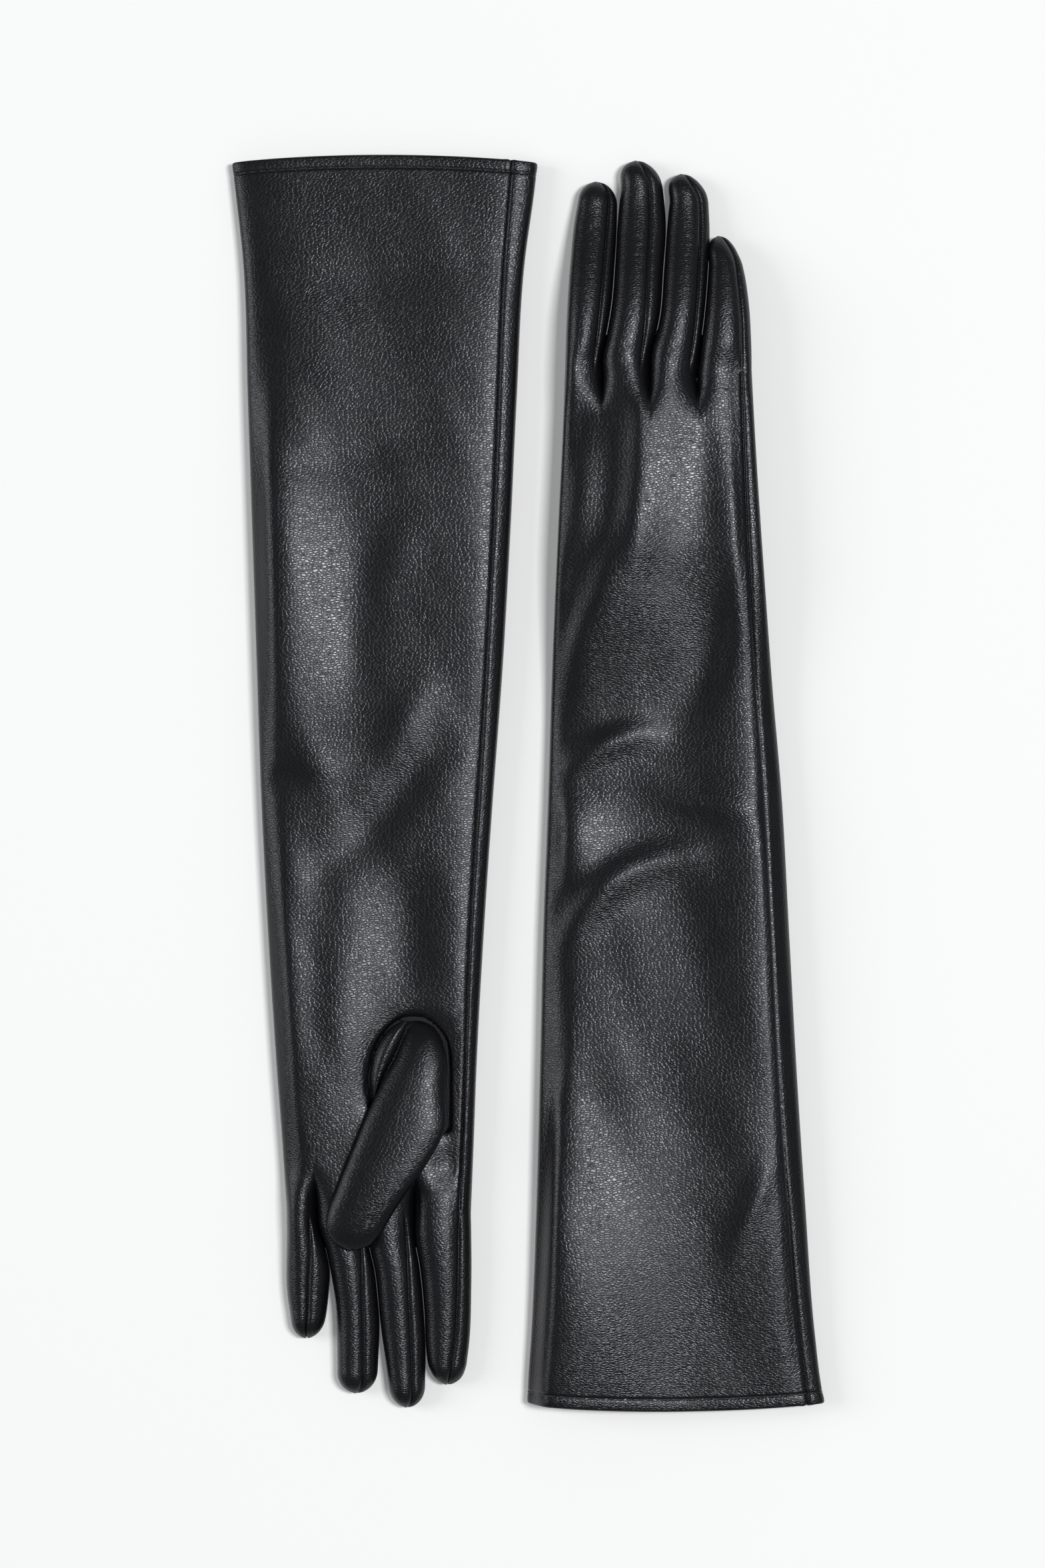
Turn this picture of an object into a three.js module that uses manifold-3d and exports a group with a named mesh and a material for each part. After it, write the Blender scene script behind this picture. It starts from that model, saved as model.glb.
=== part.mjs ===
// A pair of long opera gloves in black faux leather, lying flat on a table side by side: the left glove palm
// up with its fingers towards -Y and its thumb folded over the palm, the right glove palm down with its
// fingers towards +Y and its thumb folded under the palm. Millimetres, +Z up, the table top at Z = 0.
//
// Each glove is sewn from a back panel and a palm panel that meet in two long side seams, narrow strips
// (fourchettes) between the fingers, a two-piece thumb set over a hole in the palm, a turned-in hem with one
// row of stitching, and a lining. The panels are parted at the wrist and at the finger knuckles, where the
// glove bends.
import * as THREE from "three";
import Module from "manifold-3d";
import { mergeVertices } from "three/addons/utils/BufferGeometryUtils.js";

const wasm = await Module();
wasm.setup();

// ---- Driving dimensions ----------------------------------------------------------------------------------
const ARM_LENGTH = 348; // hem to the bend of the wrist
const HAND_LENGTH = 118; // bend of the wrist to the webs of the fingers
const HEM_WIDTH = 133; // flat width at the opening
const ELBOW_WIDTH = 114; // flat width at the elbow
const WRIST_WIDTH = 95;
const HEM_HEIGHT = 14; // the opening's outside height as it lies
const ARM_HEIGHT = 17;
const HAND_HEIGHT = 15;
const THUMB_HEIGHT = 9.5;
const THUMB_WIDTH = 30;
const THUMB_LENGTH = 99;
const THUMB_FROM_WRIST = 31; // bend of the wrist to the thumb's near end
const THUMB_FROM_EDGE = 14; // radial edge of the hand to the thumb's hinged side
const THUMB_SLANT = 27; // how far the thumb's tip leans towards the little finger
const HOLE_LENGTH = 33; // thumb hole in the palm
const HOLE_WIDTH = 26;
const LEATHER = 1.0; // outer wall
const LINING = 0.5;
const HEM_DEPTH = 9; // turned-in hem
const HEM_WALL = 2.4; // two layers and the turn
const STITCH_FROM_HEM = 5.4;
const THREAD = 0.5;
const SIDE_STRIP = 8; // side seam to the glove's edge
const FOURCHETTE_STRIP = 6; // finger seam to the finger's side
const PAIR_PITCH = 130; // between the arm axes at the hems
// length: webs to the tip. knuckle: webs to the bend. width: share of the hand's flat width at the webs.
const FINGERS = [
  { name: "index", length: 73, knuckle: 25, width: 21.4 },
  { name: "middle", length: 82.5, knuckle: 26, width: 20.9 },
  { name: "ring", length: 77, knuckle: 25, width: 20.4 },
  { name: "little", length: 51, knuckle: 19, width: 18.8 },
];
// lean: how far each glove is turned on the table, in radians.
const GLOVES = [
  { side: "left", palmUp: true, x: -PAIR_PITCH / 2, turn: 0, lean: -0.003 },
  { side: "right", palmUp: false, x: PAIR_PITCH / 2, turn: Math.PI, lean: 0.017 },
];

// ---- Clearances ------------------------------------------------------------------------------------------
const GAP = 0.3; // between sewn neighbours
const FINGER_GAP = 0.6; // between two fingers
const OVERLAP = 0.6; // of solids that are joined into one
const LINING_CLEAR = 1.5; // leather to lining, whose facets don't line up

// ---- Shape of the flattened tubes ------------------------------------------------------------------------
const CROWN = 2.6; // roundness of the upper side: 2 is an ellipse
const UNDERSIDE = 5;
const FLATTEN = 1.06; // widens the flat of the underside
const EDGE_SHARE = 0.45; // height of the folded edge, as a share of the height
const SIDE_SEAM = 20; // degrees from the edge to a fourchette's seam on a finger's side
const TIP_ROUND = 9; // length over which a fingertip closes
const THUMB_ROUND = 0.14; // the same for the thumb's ends, as a share of its length
const TIP_OPENING = 1.12; // half height of the blunt end of a finger or thumb, in thicknesses of leather
const ARM_FACETS = 12; // facets across one panel
const FINGER_FACETS = 4;
const HAND_FACETS = 4; // facets across one finger's share of the hand

const LEATHER_BLACK = { color: 0x1c1c1f, roughness: 0.42, metalness: 0 };
const LINING_BLACK = { color: 0x101012, roughness: 0.9, metalness: 0 };
const THREAD_BLACK = { color: 0x0c0c0d, roughness: 0.7, metalness: 0 };

// ---- Places along a glove, from the hem ------------------------------------------------------------------
const WRIST = ARM_LENGTH;
const WEBS = ARM_LENGTH + HAND_LENGTH;
const THUMB_START = WRIST + THUMB_FROM_WRIST;
const THUMB_END = THUMB_START + THUMB_LENGTH;
const HOLE_AT = THUMB_START + HOLE_LENGTH / 2 + 3;
const GLOVE_LENGTH = WEBS + Math.max(...FINGERS.map((f) => f.length));
const KNUCKLE_WIDTH = FINGERS.reduce((sum, finger) => sum + finger.width, 0);

const rad = (degrees) => (degrees * Math.PI) / 180;
const mix = (a, b, t) => a + (b - a) * t;
const clamp01 = (t) => Math.min(1, Math.max(0, t));
const ease = (t) => clamp01(t) ** 2 * (3 - 2 * clamp01(t));
const steps = (from, to, count) => Array.from({ length: count + 1 }, (_, i) => mix(from, to, i / count));

// A smooth curve through a few (place, value) pairs.
function profile(...pairs) {
  const curve = new THREE.SplineCurve(pairs.map(([x, y]) => new THREE.Vector2(x, y)));
  return (at) => {
    let low = 0;
    let high = 1;
    for (let i = 0; i < 30; i++) {
      const middle = (low + high) / 2;
      if (curve.getPoint(middle).x < at) low = middle;
      else high = middle;
    }
    return curve.getPoint((low + high) / 2).y;
  };
}

const flatWidth = profile(
  [0, HEM_WIDTH],
  [0.12 * WRIST, mix(HEM_WIDTH, ELBOW_WIDTH, 0.45)],
  [0.46 * WRIST, ELBOW_WIDTH],
  [WRIST, WRIST_WIDTH],
  [WEBS, KNUCKLE_WIDTH],
);
const armHeight = profile(
  [0, HEM_HEIGHT],
  [0.3 * WRIST, ARM_HEIGHT],
  [WRIST, HAND_HEIGHT],
  [WEBS, HAND_HEIGHT],
);

// ---- Closed meshes from grids of points ------------------------------------------------------------------
// outer and inner are rows of points of one size; a ring's rows close on themselves.
function shell(outer, inner, ring = false) {
  const rows = outer.length;
  const columns = outer[0].length;
  const points = [...outer.flat(), ...inner.flat()];
  const at = (side, i, j) => side * rows * columns + i * columns + (j % columns);
  const faces = [];
  const quad = (a, b, c, d) => faces.push([a, b, c], [a, c, d]);
  const last = ring ? columns : columns - 1;
  for (let i = 0; i < rows - 1; i++)
    for (let j = 0; j < last; j++) {
      quad(at(0, i, j), at(0, i, j + 1), at(0, i + 1, j + 1), at(0, i + 1, j));
      quad(at(1, i, j), at(1, i + 1, j), at(1, i + 1, j + 1), at(1, i, j + 1));
    }
  for (let j = 0; j < last; j++) {
    quad(at(0, 0, j), at(1, 0, j), at(1, 0, j + 1), at(0, 0, j + 1));
    quad(at(0, rows - 1, j), at(0, rows - 1, j + 1), at(1, rows - 1, j + 1), at(1, rows - 1, j));
  }
  if (!ring)
    for (let i = 0; i < rows - 1; i++) {
      quad(at(0, i, 0), at(0, i + 1, 0), at(1, i + 1, 0), at(1, i, 0));
      quad(at(0, i, last), at(1, i, last), at(1, i + 1, last), at(0, i + 1, last));
    }
  return outward(points, faces);
}

// A geometry whose faces point outwards, whichever way round its grid runs.
function outward(points, faces) {
  const volume = faces.reduce(
    (sum, [a, b, c]) => sum + points[a].dot(new THREE.Vector3().crossVectors(points[b], points[c])),
    0,
  );
  const geometry = new THREE.BufferGeometry().setFromPoints(points);
  geometry.setIndex(faces.flatMap(([a, b, c]) => (volume < 0 ? [a, c, b] : [a, b, c])));
  geometry.computeVertexNormals();
  return geometry;
}

function solidOf(geometry) {
  const bare = geometry.clone();
  bare.deleteAttribute("normal");
  bare.deleteAttribute("uv");
  const merged = mergeVertices(bare, 1e-4);
  return new wasm.Manifold(
    new wasm.Mesh({
      numProp: 3,
      vertProperties: new Float32Array(merged.attributes.position.array),
      triVerts: new Uint32Array(merged.index.array),
    }),
  );
}

function geometryOf(solid) {
  const mesh = solid.getMesh();
  const made = new THREE.BufferGeometry();
  made.setAttribute("position", new THREE.BufferAttribute(new Float32Array(mesh.vertProperties), 3));
  made.setIndex(new THREE.BufferAttribute(new Uint32Array(mesh.triVerts), 1));
  made.computeVertexNormals();
  return made;
}

const cut = (geometry, tool) => geometryOf(solidOf(geometry).subtract(solidOf(tool)));
const join = (...geometries) => geometryOf(geometries.map(solidOf).reduce((all, next) => all.add(next)));

// ---- Cross-sections --------------------------------------------------------------------------------------
// A section is a flattened tube at one place along the glove: { at, centre, half, bottom, edge, top }. The
// glove's own frame has X towards the thumb's side of the hand, -Y towards the fingertips and Z up. Angles
// start at the +X edge and rise over the upper side.
const power = (degrees) => (Math.sin(rad(degrees)) >= 0 ? CROWN : UNDERSIDE);

function sectionPoint(s, degrees, inset) {
  const across = Math.cos(rad(degrees));
  const height = Math.abs(Math.sin(rad(degrees))) ** (2 / power(degrees));
  const x = s.centre + (s.half - inset) * Math.sign(across) * Math.abs(across) ** (2 / power(degrees));
  const z =
    Math.sin(rad(degrees)) >= 0
      ? s.edge + (s.top - inset - s.edge) * height
      : s.edge - (s.edge - s.bottom - inset) * Math.min(1, FLATTEN * height);
  return new THREE.Vector3(x, -s.at, z);
}

// The angle on the upper (up) or lower side that lies a strip's width in from the +X edge.
function stripAngle(s, strip, up) {
  const share = Math.max(0, 1 - strip / s.half);
  const angle = (Math.acos(share ** ((up ? CROWN : UNDERSIDE) / 2)) * 180) / Math.PI;
  return up ? angle : -angle;
}

// Draws a row's two ends in by half of the seam's clearance.
function drawIn(points, clearance = GAP / 2) {
  const moved = (end, next) => {
    const along = points[next].clone().sub(points[end]);
    const length = Math.min(clearance, along.length() / 3);
    return points[end].clone().addScaledVector(along.normalize(), length);
  };
  const last = points.length - 1;
  return [moved(0, 1), ...points.slice(1, last), moved(last, last - 1)];
}

// A strip of leather between two angles, which are given for each section.
function strip(sections, from, to, facets, clearance = GAP / 2) {
  const rowOf = (s, depth) => {
    const points = steps(from(s), to(s), facets).map((angle) => sectionPoint(s, angle, depth));
    return drawIn(points, clearance);
  };
  return shell(
    sections.map((s) => rowOf(s, 0)),
    sections.map((s) => rowOf(s, LEATHER)),
  );
}

function tube(sections, facets, insets, wall) {
  const ringOf = (s, depth) =>
    steps(0, 360, facets)
      .slice(0, facets)
      .map((angle) => sectionPoint(s, angle, depth));
  return shell(
    sections.map((s, i) => ringOf(s, insets[i] ?? insets[0])),
    sections.map((s) => ringOf(s, wall)),
    true,
  );
}

// ---- One glove -------------------------------------------------------------------------------------------
function makeGlove({ side, palmUp }) {
  const glove = new THREE.Group();
  const add = (name, geometry, material) => {
    const mesh = new THREE.Mesh(geometry, new THREE.MeshStandardMaterial(material));
    mesh.name = `${side}_${name}`;
    glove.add(mesh);
  };
  // Angles towards the palm are positive on a glove that lies palm up, and are mirrored on the other.
  const way = palmUp ? 1 : -1;
  const palmStrip = (s, width) => way * Math.abs(stripAngle(s, width, palmUp));
  const backStrip = (s, width) => way * (180 + Math.abs(stripAngle(s, width, !palmUp)));

  // Over the folded-under thumb the hand of the palm-down glove lies higher.
  const lift = palmUp ? 0 : THUMB_HEIGHT + GAP;
  const bottomAt = (at) => lift * ease((at - WRIST - 2) / (THUMB_FROM_WRIST - 4));

  const bodySection = (at) => {
    const height = armHeight(at);
    const bottom = bottomAt(at);
    return {
      at,
      centre: 0,
      half: flatWidth(at) / 2,
      bottom,
      edge: bottom + EDGE_SHARE * height,
      top: bottom + height,
    };
  };

  addArm(add, bodySection, palmStrip, backStrip);
  const fingers = placeFingers(palmUp, lift);
  addHand(add, bodySection, fingers, palmUp, palmStrip, backStrip);
  for (const finger of fingers) addFinger(add, finger, way, palmStrip, backStrip);
  addThumb(add, palmUp, bodySection);
  return glove;
}

// Arm: two panels, the hem with its stitching, and the lining.
function addArm(add, section, palmStrip, backStrip) {
  const rows = steps(HEM_DEPTH + GAP, WRIST - GAP, 6).map(section);
  const palmSeam = (s) => palmStrip(s, SIDE_STRIP);
  const backSeam = (s) => backStrip(s, SIDE_STRIP);
  const round = (s) => palmSeam(s) + Math.sign(palmSeam(s)) * 360;
  add("arm_palm_panel", strip(rows, palmSeam, backSeam, ARM_FACETS), LEATHER_BLACK);
  add("arm_back_panel", strip(rows, backSeam, round, ARM_FACETS), LEATHER_BLACK);

  const groove = THREAD / 2 + GAP;
  const hemRows = [
    [0, 1],
    [1, 0],
    [STITCH_FROM_HEM - groove - 0.2, 0],
    [STITCH_FROM_HEM - groove, THREAD + GAP + 0.2],
    [STITCH_FROM_HEM + groove, THREAD + GAP + 0.2],
    [STITCH_FROM_HEM + groove + 0.2, 0],
    [HEM_DEPTH, 0],
  ];
  const hemSections = hemRows.map(([at]) => section(at));
  const hemInsets = hemRows.map(([, inset]) => inset);
  add("hem_band", tube(hemSections, 2 * ARM_FACETS, hemInsets, HEM_WALL), LEATHER_BLACK);
  add("hem_stitching", threadRing(section, 2 * ARM_FACETS), THREAD_BLACK);

  const liningRows = steps(HEM_DEPTH + GAP, WRIST - 3, 4).map(section);
  const inside = LEATHER + LINING_CLEAR;
  add("arm_lining", tube(liningRows, 2 * ARM_FACETS, [inside], inside + LINING), LINING_BLACK);
}

// One thread that runs round the hem in its groove, square in section.
function threadRing(section, facets) {
  const places = [-THREAD / 2, THREAD / 2].map((shift) => section(STITCH_FROM_HEM + shift));
  return tube(places, facets, [0.1], 0.1 + THREAD);
}

// Finger tubes side by side across the knuckles, from the index finger at +X to the little finger.
function placeFingers(palmUp, lift) {
  let edge = KNUCKLE_WIDTH / 2;
  return FINGERS.map((finger, place) => {
    const { width } = finger;
    const centre = edge - width / 2;
    edge -= width;
    const knuckle = WEBS + finger.knuckle;
    const tip = WEBS + finger.length;
    const slim = profile([WEBS, 1], [mix(WEBS, tip, 0.5), 0.97], [tip - 12, 0.9], [tip, 0.86]);
    const height = profile(
      [WEBS, HAND_HEIGHT],
      [knuckle, 0.96 * HAND_HEIGHT],
      [tip - 8, 0.73 * HAND_HEIGHT],
      [tip, 0.67 * HAND_HEIGHT],
    );
    const blunt = (TIP_OPENING * LEATHER) / (EDGE_SHARE * height(tip));
    const close = (at) => Math.sqrt(Math.max(blunt ** 2, 1 - clamp01((at - tip) / TIP_ROUND + 1) ** 2));
    const section = (at) => {
      const tall = at < WEBS ? HAND_HEIGHT : height(at);
      const bottom = lift * (1 - ease((at - knuckle) / (tip - 3 - knuckle)));
      const middle = bottom + EDGE_SHARE * tall;
      return {
        at,
        centre,
        half: (width / 2 - FINGER_GAP / 2) * slim(Math.max(at, WEBS)) * close(at),
        bottom: middle - EDGE_SHARE * tall * close(at),
        edge: middle,
        top: middle + (1 - EDGE_SHARE) * tall * close(at),
      };
    };
    const ends = { first: place === 0, last: place === FINGERS.length - 1 };
    return { ...finger, ...ends, centre, knuckle, tip, section };
  });
}

// The angles at which a finger's four strips meet, from the seam on the palm round to the same seam.
function fingerSeams(finger, way, palmStrip, backStrip) {
  const outer = finger.first ? SIDE_STRIP : FOURCHETTE_STRIP;
  const inner = finger.last ? SIDE_STRIP : FOURCHETTE_STRIP;
  const palm = (s) => palmStrip(s, outer);
  return {
    palm,
    littleSide: () => way * (180 - SIDE_SEAM),
    back: (s) => backStrip(s, inner),
    thumbSide: () => way * (360 - SIDE_SEAM),
    palmAgain: (s) => palm(s) + way * 360,
  };
}

// The finger's strips between two places: [name, geometry] pairs, without the fourchettes that it lacks.
function fingerStrips(finger, from, to, rows, way, palmStrip, backStrip, clearance) {
  const seams = fingerSeams(finger, way, palmStrip, backStrip);
  const sections = rows.map((t) => finger.section(mix(from, to, t)));
  const make = (a, b) => strip(sections, a, b, FINGER_FACETS, clearance);
  const strips = {
    palm: make(seams.palm, finger.last ? seams.back : seams.littleSide),
    back: make(seams.back, finger.first ? seams.palmAgain : seams.thumbSide),
  };
  if (!finger.last) strips.littleSide = make(seams.littleSide, seams.back);
  if (!finger.first) strips.thumbSide = make(seams.thumbSide, seams.palmAgain);
  return strips;
}

// Hand: palm and back panels that swell into four finger tubes at the webs and carry their near ends, a
// gusset in each web, and the lining. The palm has the thumb hole.
function addHand(add, section, fingers, palmUp, palmStrip, backStrip) {
  const way = palmUp ? 1 : -1;
  const rows = [0, 0.12, 0.24, 0.5, 0.72, 0.86, 1].map((t) => section(mix(WRIST + GAP, WEBS, t)));
  const swell = (s) => ease((s.at - mix(WRIST, WEBS, 0.7)) / (0.3 * HAND_LENGTH));
  const toPalm = handStations(fingers, palmUp, true);
  const toBack = handStations(fingers, palmUp, false);
  const panel = (stations) => {
    const rowOf = (s, inner) => drawIn(stations.map((station) => handPoint(s, station, swell(s), inner)));
    return shell(
      rows.map((s) => rowOf(s, false)),
      rows.map((s) => rowOf(s, true)),
    );
  };
  const near = fingers.map((f) =>
    fingerStrips(f, WEBS - OVERLAP, f.knuckle - GAP, [0, 1], way, palmStrip, backStrip, 2 * GAP),
  );
  const web = fingers.map((f) =>
    fingerStrips(f, WEBS + GAP, f.knuckle - GAP, [0, 1], way, palmStrip, backStrip),
  );
  const hole = thumbHole();
  add("hand_palm_panel", cut(join(panel(toPalm), ...near.map((n) => n.palm)), hole), LEATHER_BLACK);
  add("hand_back_panel", join(panel(toBack), ...near.map((n) => n.back)), LEATHER_BLACK);

  for (let i = 0; i < fingers.length - 1; i++) {
    const [one, next] = [fingers[i], fingers[i + 1]];
    const s = one.section(WEBS + GAP);
    const bridge = new THREE.BoxGeometry(FINGER_GAP + LEATHER, LEATHER, 2 * LEATHER);
    bridge.translate(one.centre - one.width / 2, -(WEBS + GAP + LEATHER / 2), s.edge);
    const name = `${one.name}_${next.name}_gusset`;
    add(name, join(web[i].littleSide, bridge, web[i + 1].thumbSide), LEATHER_BLACK);
  }

  const inside = LEATHER + LINING_CLEAR;
  const liningRows = steps(WRIST + 3, mix(WRIST, WEBS, 0.7), 4).map(section);
  const lining = tube(liningRows, 2 * ARM_FACETS, [inside], inside + LINING);
  add("hand_lining", cut(lining, hole), LINING_BLACK);

  // An upright oval cutter through the palm's side only.
  function thumbHole() {
    const s = section(HOLE_AT);
    const oval = new THREE.CylinderGeometry(1, 1, HAND_HEIGHT / 2 + 2, 20);
    oval.rotateX(Math.PI / 2);
    oval.scale(HOLE_WIDTH / 2, HOLE_LENGTH / 2, 1);
    const z = palmUp ? s.top - HAND_HEIGHT / 4 + 1 : s.bottom + HAND_HEIGHT / 4 - 1;
    oval.translate(thumbCentre(HOLE_AT), -HOLE_AT, z);
    return oval;
  }
}

// Stations across the hand: x as a share of its half width, the place t across one finger, and the side.
// The palm panel runs from the seam near the thumb's edge over the palm and round the little finger's edge.
function handStations(fingers, palmUp, isPalm) {
  const half = KNUCKLE_WIDTH / 2;
  const stationsOf = (finger, up, tFrom, tTo) =>
    steps(0, Math.PI, HAND_FACETS).map((angle) => {
      const t = mix(tFrom, tTo, (1 - Math.cos(angle)) / 2);
      return { share: (finger.centre + finger.width * (0.5 - t)) / half, t, width: finger.width, up };
    });
  const [first, last] = [fingers[0], fingers[fingers.length - 1]];
  const seamInFirst = SIDE_STRIP / first.width;
  const seamInLast = 1 - SIDE_STRIP / last.width;
  const overPalm = fingers.map((f) => stationsOf(f, palmUp, f === first ? seamInFirst : 0, 1));
  const littleWrap = stationsOf(last, !palmUp, 1, seamInLast);
  const overBack = fingers.map((f) => stationsOf(f, !palmUp, 0, f === last ? seamInLast : 1));
  const thumbWrap = stationsOf(first, palmUp, seamInFirst, 0);
  const chain = isPalm ? [...overPalm, littleWrap] : [thumbWrap, ...overBack];
  return chain.flatMap((part, i) => (i === 0 ? part : part.slice(1)));
}

function handPoint(s, { share, t, width, up }, swell, inner) {
  const roundness = up ? CROWN : UNDERSIDE;
  const bulge = (a) => (1 - Math.min(1, Math.abs(a)) ** roundness) ** (1 / roundness);
  const wall = inner ? LEATHER : 0;
  const innerHalf = s.half - wall;
  const x = Math.max(-innerHalf, Math.min(innerHalf, share * s.half));
  const across = (2 * t - 1) / (1 - (2 * wall) / width);
  const outermost = Math.abs(share) > 0.999;
  const floor = outermost ? 0 : swell * (GAP / 2 + LEATHER - wall);
  const reach = (up ? s.top - s.edge : s.edge - s.bottom) - wall;
  const fill = Math.min(1, (up ? 1 : FLATTEN) * mix(bulge(x / innerHalf), bulge(across), swell));
  const height = floor + (reach - floor) * fill;
  return new THREE.Vector3(s.centre + x, -s.at, up ? s.edge + height : s.edge - height);
}

function addFinger(add, finger, way, palmStrip, backStrip) {
  const rows = [0, 0.4, 0.75, 0.92, 1];
  const from = finger.knuckle + GAP;
  const strips = fingerStrips(finger, from, finger.tip, rows, way, palmStrip, backStrip);
  add(`${finger.name}_palm_panel`, strips.palm, LEATHER_BLACK);
  add(`${finger.name}_back_panel`, strips.back, LEATHER_BLACK);
  if (strips.littleSide) add(`${finger.name}_little_side_fourchette`, strips.littleSide, LEATHER_BLACK);
  if (strips.thumbSide) add(`${finger.name}_thumb_side_fourchette`, strips.thumbSide, LEATHER_BLACK);
}

// Thumb: an outer panel over the hole and down to the tip, and an inner panel between the thumb and the palm.
function thumbCentre(at) {
  const t = clamp01((at - THUMB_START) / THUMB_LENGTH);
  const side = KNUCKLE_WIDTH / 2 - THUMB_FROM_EDGE + (WRIST_WIDTH - KNUCKLE_WIDTH) / 4;
  return side - THUMB_WIDTH / 2 - THUMB_SLANT * ease((t - 0.22) / 0.9);
}

function addThumb(add, palmUp, bodySection) {
  const palm = bodySection(WEBS);
  const foot = palmUp ? palm.top + GAP : 0;
  const blunt = (TIP_OPENING * LEATHER) / (THUMB_HEIGHT / 2);
  const section = (at) => {
    const t = (at - THUMB_START) / THUMB_LENGTH;
    const nearEnd = clamp01(1 - t / THUMB_ROUND);
    const farEnd = clamp01((t - 1) / THUMB_ROUND + 1);
    const close = Math.sqrt(Math.max(blunt ** 2, 1 - nearEnd ** 2 - farEnd ** 2));
    const middle = foot + THUMB_HEIGHT / 2;
    return {
      at,
      centre: thumbCentre(at),
      half: (THUMB_WIDTH / 2) * mix(1, 0.78, ease((t - 0.5) / 0.5)) * close,
      bottom: palmUp ? foot : middle - (THUMB_HEIGHT / 2) * close,
      edge: middle,
      top: palmUp ? middle + (THUMB_HEIGHT / 2) * close : foot + THUMB_HEIGHT,
    };
  };
  const outerSide = palmUp ? [0, 180] : [180, 360];
  const innerSide = palmUp ? [180, 360] : [0, 180];
  const places = [0, 0.04, 0.12, 0.4, 0.65, 0.86, 0.95, 1];
  const outerRows = places.map((t) => section(mix(THUMB_START, THUMB_END, t)));
  const innerFrom = HOLE_AT + HOLE_LENGTH / 2 + 2;
  const innerRows = [0, 0.4, 0.75, 0.92, 1].map((t) => section(mix(innerFrom, THUMB_END, t)));
  const half = (rows, [from, to]) =>
    strip(
      rows,
      () => from,
      () => to,
      2 * FINGER_FACETS,
    );
  add("thumb_outer_panel", half(outerRows, outerSide), LEATHER_BLACK);
  add("thumb_inner_panel", half(innerRows, innerSide), LEATHER_BLACK);
}

// ---- The pair --------------------------------------------------------------------------------------------
const gloves = new THREE.Group();
for (const placing of GLOVES) {
  const glove = makeGlove(placing);
  glove.position.set(placing.x, (placing.palmUp ? 1 : -1) * (GLOVE_LENGTH / 2), 0);
  glove.rotation.z = placing.turn + placing.lean;
  gloves.add(glove);
}
// The origin is the middle of the pair's footprint.
const footprint = new THREE.Box3().setFromObject(gloves).getCenter(new THREE.Vector3());
gloves.position.set(-footprint.x, -footprint.y, 0);
gloves.updateMatrixWorld(true);

export default gloves;
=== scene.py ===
"""A pair of long opera gloves in black faux leather, laid flat on a white floor.

The left glove lies palm up with its thumb folded over the palm, the right glove palm down. Every leather
panel is a sheet of its own, cut from one closed surface per glove: a flattened tube that follows the
glove's outline, swells into four fingers at the webs, and carries the folds that the leather has taken.
Lengths are in millimetres until a mesh is made. "along" is the distance from the hem.
"""

import math

import bpy
import numpy as np
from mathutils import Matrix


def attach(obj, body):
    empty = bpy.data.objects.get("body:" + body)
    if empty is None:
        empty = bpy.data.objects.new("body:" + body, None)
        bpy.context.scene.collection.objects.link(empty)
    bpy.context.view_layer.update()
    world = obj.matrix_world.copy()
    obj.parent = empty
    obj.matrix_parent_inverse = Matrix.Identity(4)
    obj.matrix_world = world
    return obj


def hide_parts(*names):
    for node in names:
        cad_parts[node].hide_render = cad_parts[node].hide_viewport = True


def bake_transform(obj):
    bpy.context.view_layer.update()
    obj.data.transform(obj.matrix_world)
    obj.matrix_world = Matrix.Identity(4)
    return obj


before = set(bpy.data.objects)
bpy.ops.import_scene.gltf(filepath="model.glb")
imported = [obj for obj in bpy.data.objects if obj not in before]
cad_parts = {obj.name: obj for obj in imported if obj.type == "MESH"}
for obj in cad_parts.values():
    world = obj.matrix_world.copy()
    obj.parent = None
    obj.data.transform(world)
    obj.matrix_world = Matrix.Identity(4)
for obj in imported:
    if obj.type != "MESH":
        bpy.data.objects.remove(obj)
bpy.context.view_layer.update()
MM = 0.001

# ---- Sizes ----
WRIST = 348  # hem to the bend of the wrist
HAND_FROM = 372  # hem to the row where the hand's panels take over from the arm's
HEM_TURN = 1.1  # radius of the hem's fold
HEM_DEPTH = 9
HEM_BOW = 3.2  # how far the middle of the hem stands out past its corners
STITCH_ROW = 5.4  # from the hem
STITCH_PITCH = 4.3
STITCH_LENGTH = 3.1
THREAD_RADIUS = 0.36
LEATHER = 0.9
GUSSET = 0.6
LINING = 0.4
LINING_INSET = 3.0
EDGE_SHARE = 0.42  # height of the folded edge, as a share of the height
CROWN = 3.2  # roundness of the top side
SAG = 1.8  # of the top side between its edges
UNDERSIDE = 4.5
FLATTEN = 1.04  # widens the flat of the underside
UNEVENNESS = 2.6  # of the top side, beside the folds
WAVE_SEED = {"left": 11, "right": 12}
FINGER_CROWN = 2.3
FINGER_LEAN = 0.24  # how far the top of a finger is shifted to the left, as a share of its half width
SWELL = 24  # length over which the flat hand swells into fingers
TIP_RADIUS = 9.5
STRIP_STEPS = 8  # grid steps from an edge to its seam
MAIN_STEPS = 16  # grid steps from a finger's seam to its other edge
FINGER_STEPS = STRIP_STEPS + MAIN_STEPS
TOP_STEPS = 4 * FINGER_STEPS
BOTTOM_STRIP = 7  # side seam to the edge on the underside
FINGER_STRIP = 5  # the same on the fingers inside the hand
TURN_FROM = 395  # where the arm's columns begin to turn into the fingers' columns
WRIST_BEND = 16  # half the length over which the wrist bends
KNUCKLE_BEND = 10  # half the length over which a finger bends
BEND_HEIGHT = 0.008  # metres, of the points where a bend starts and ends
THUMB_LIFT = 9.6  # height of the right hand above the table, where it lies on its thumb
LIFT_FROM = 296
LIFT_RISE = 84
LIFT_UNTIL = 476
LIFT_FALL = 62
THUMB_COLUMNS = 64
THUMB_GRAIN = 300  # place of the thumbs' grain, so that it isn't the arm's

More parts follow.
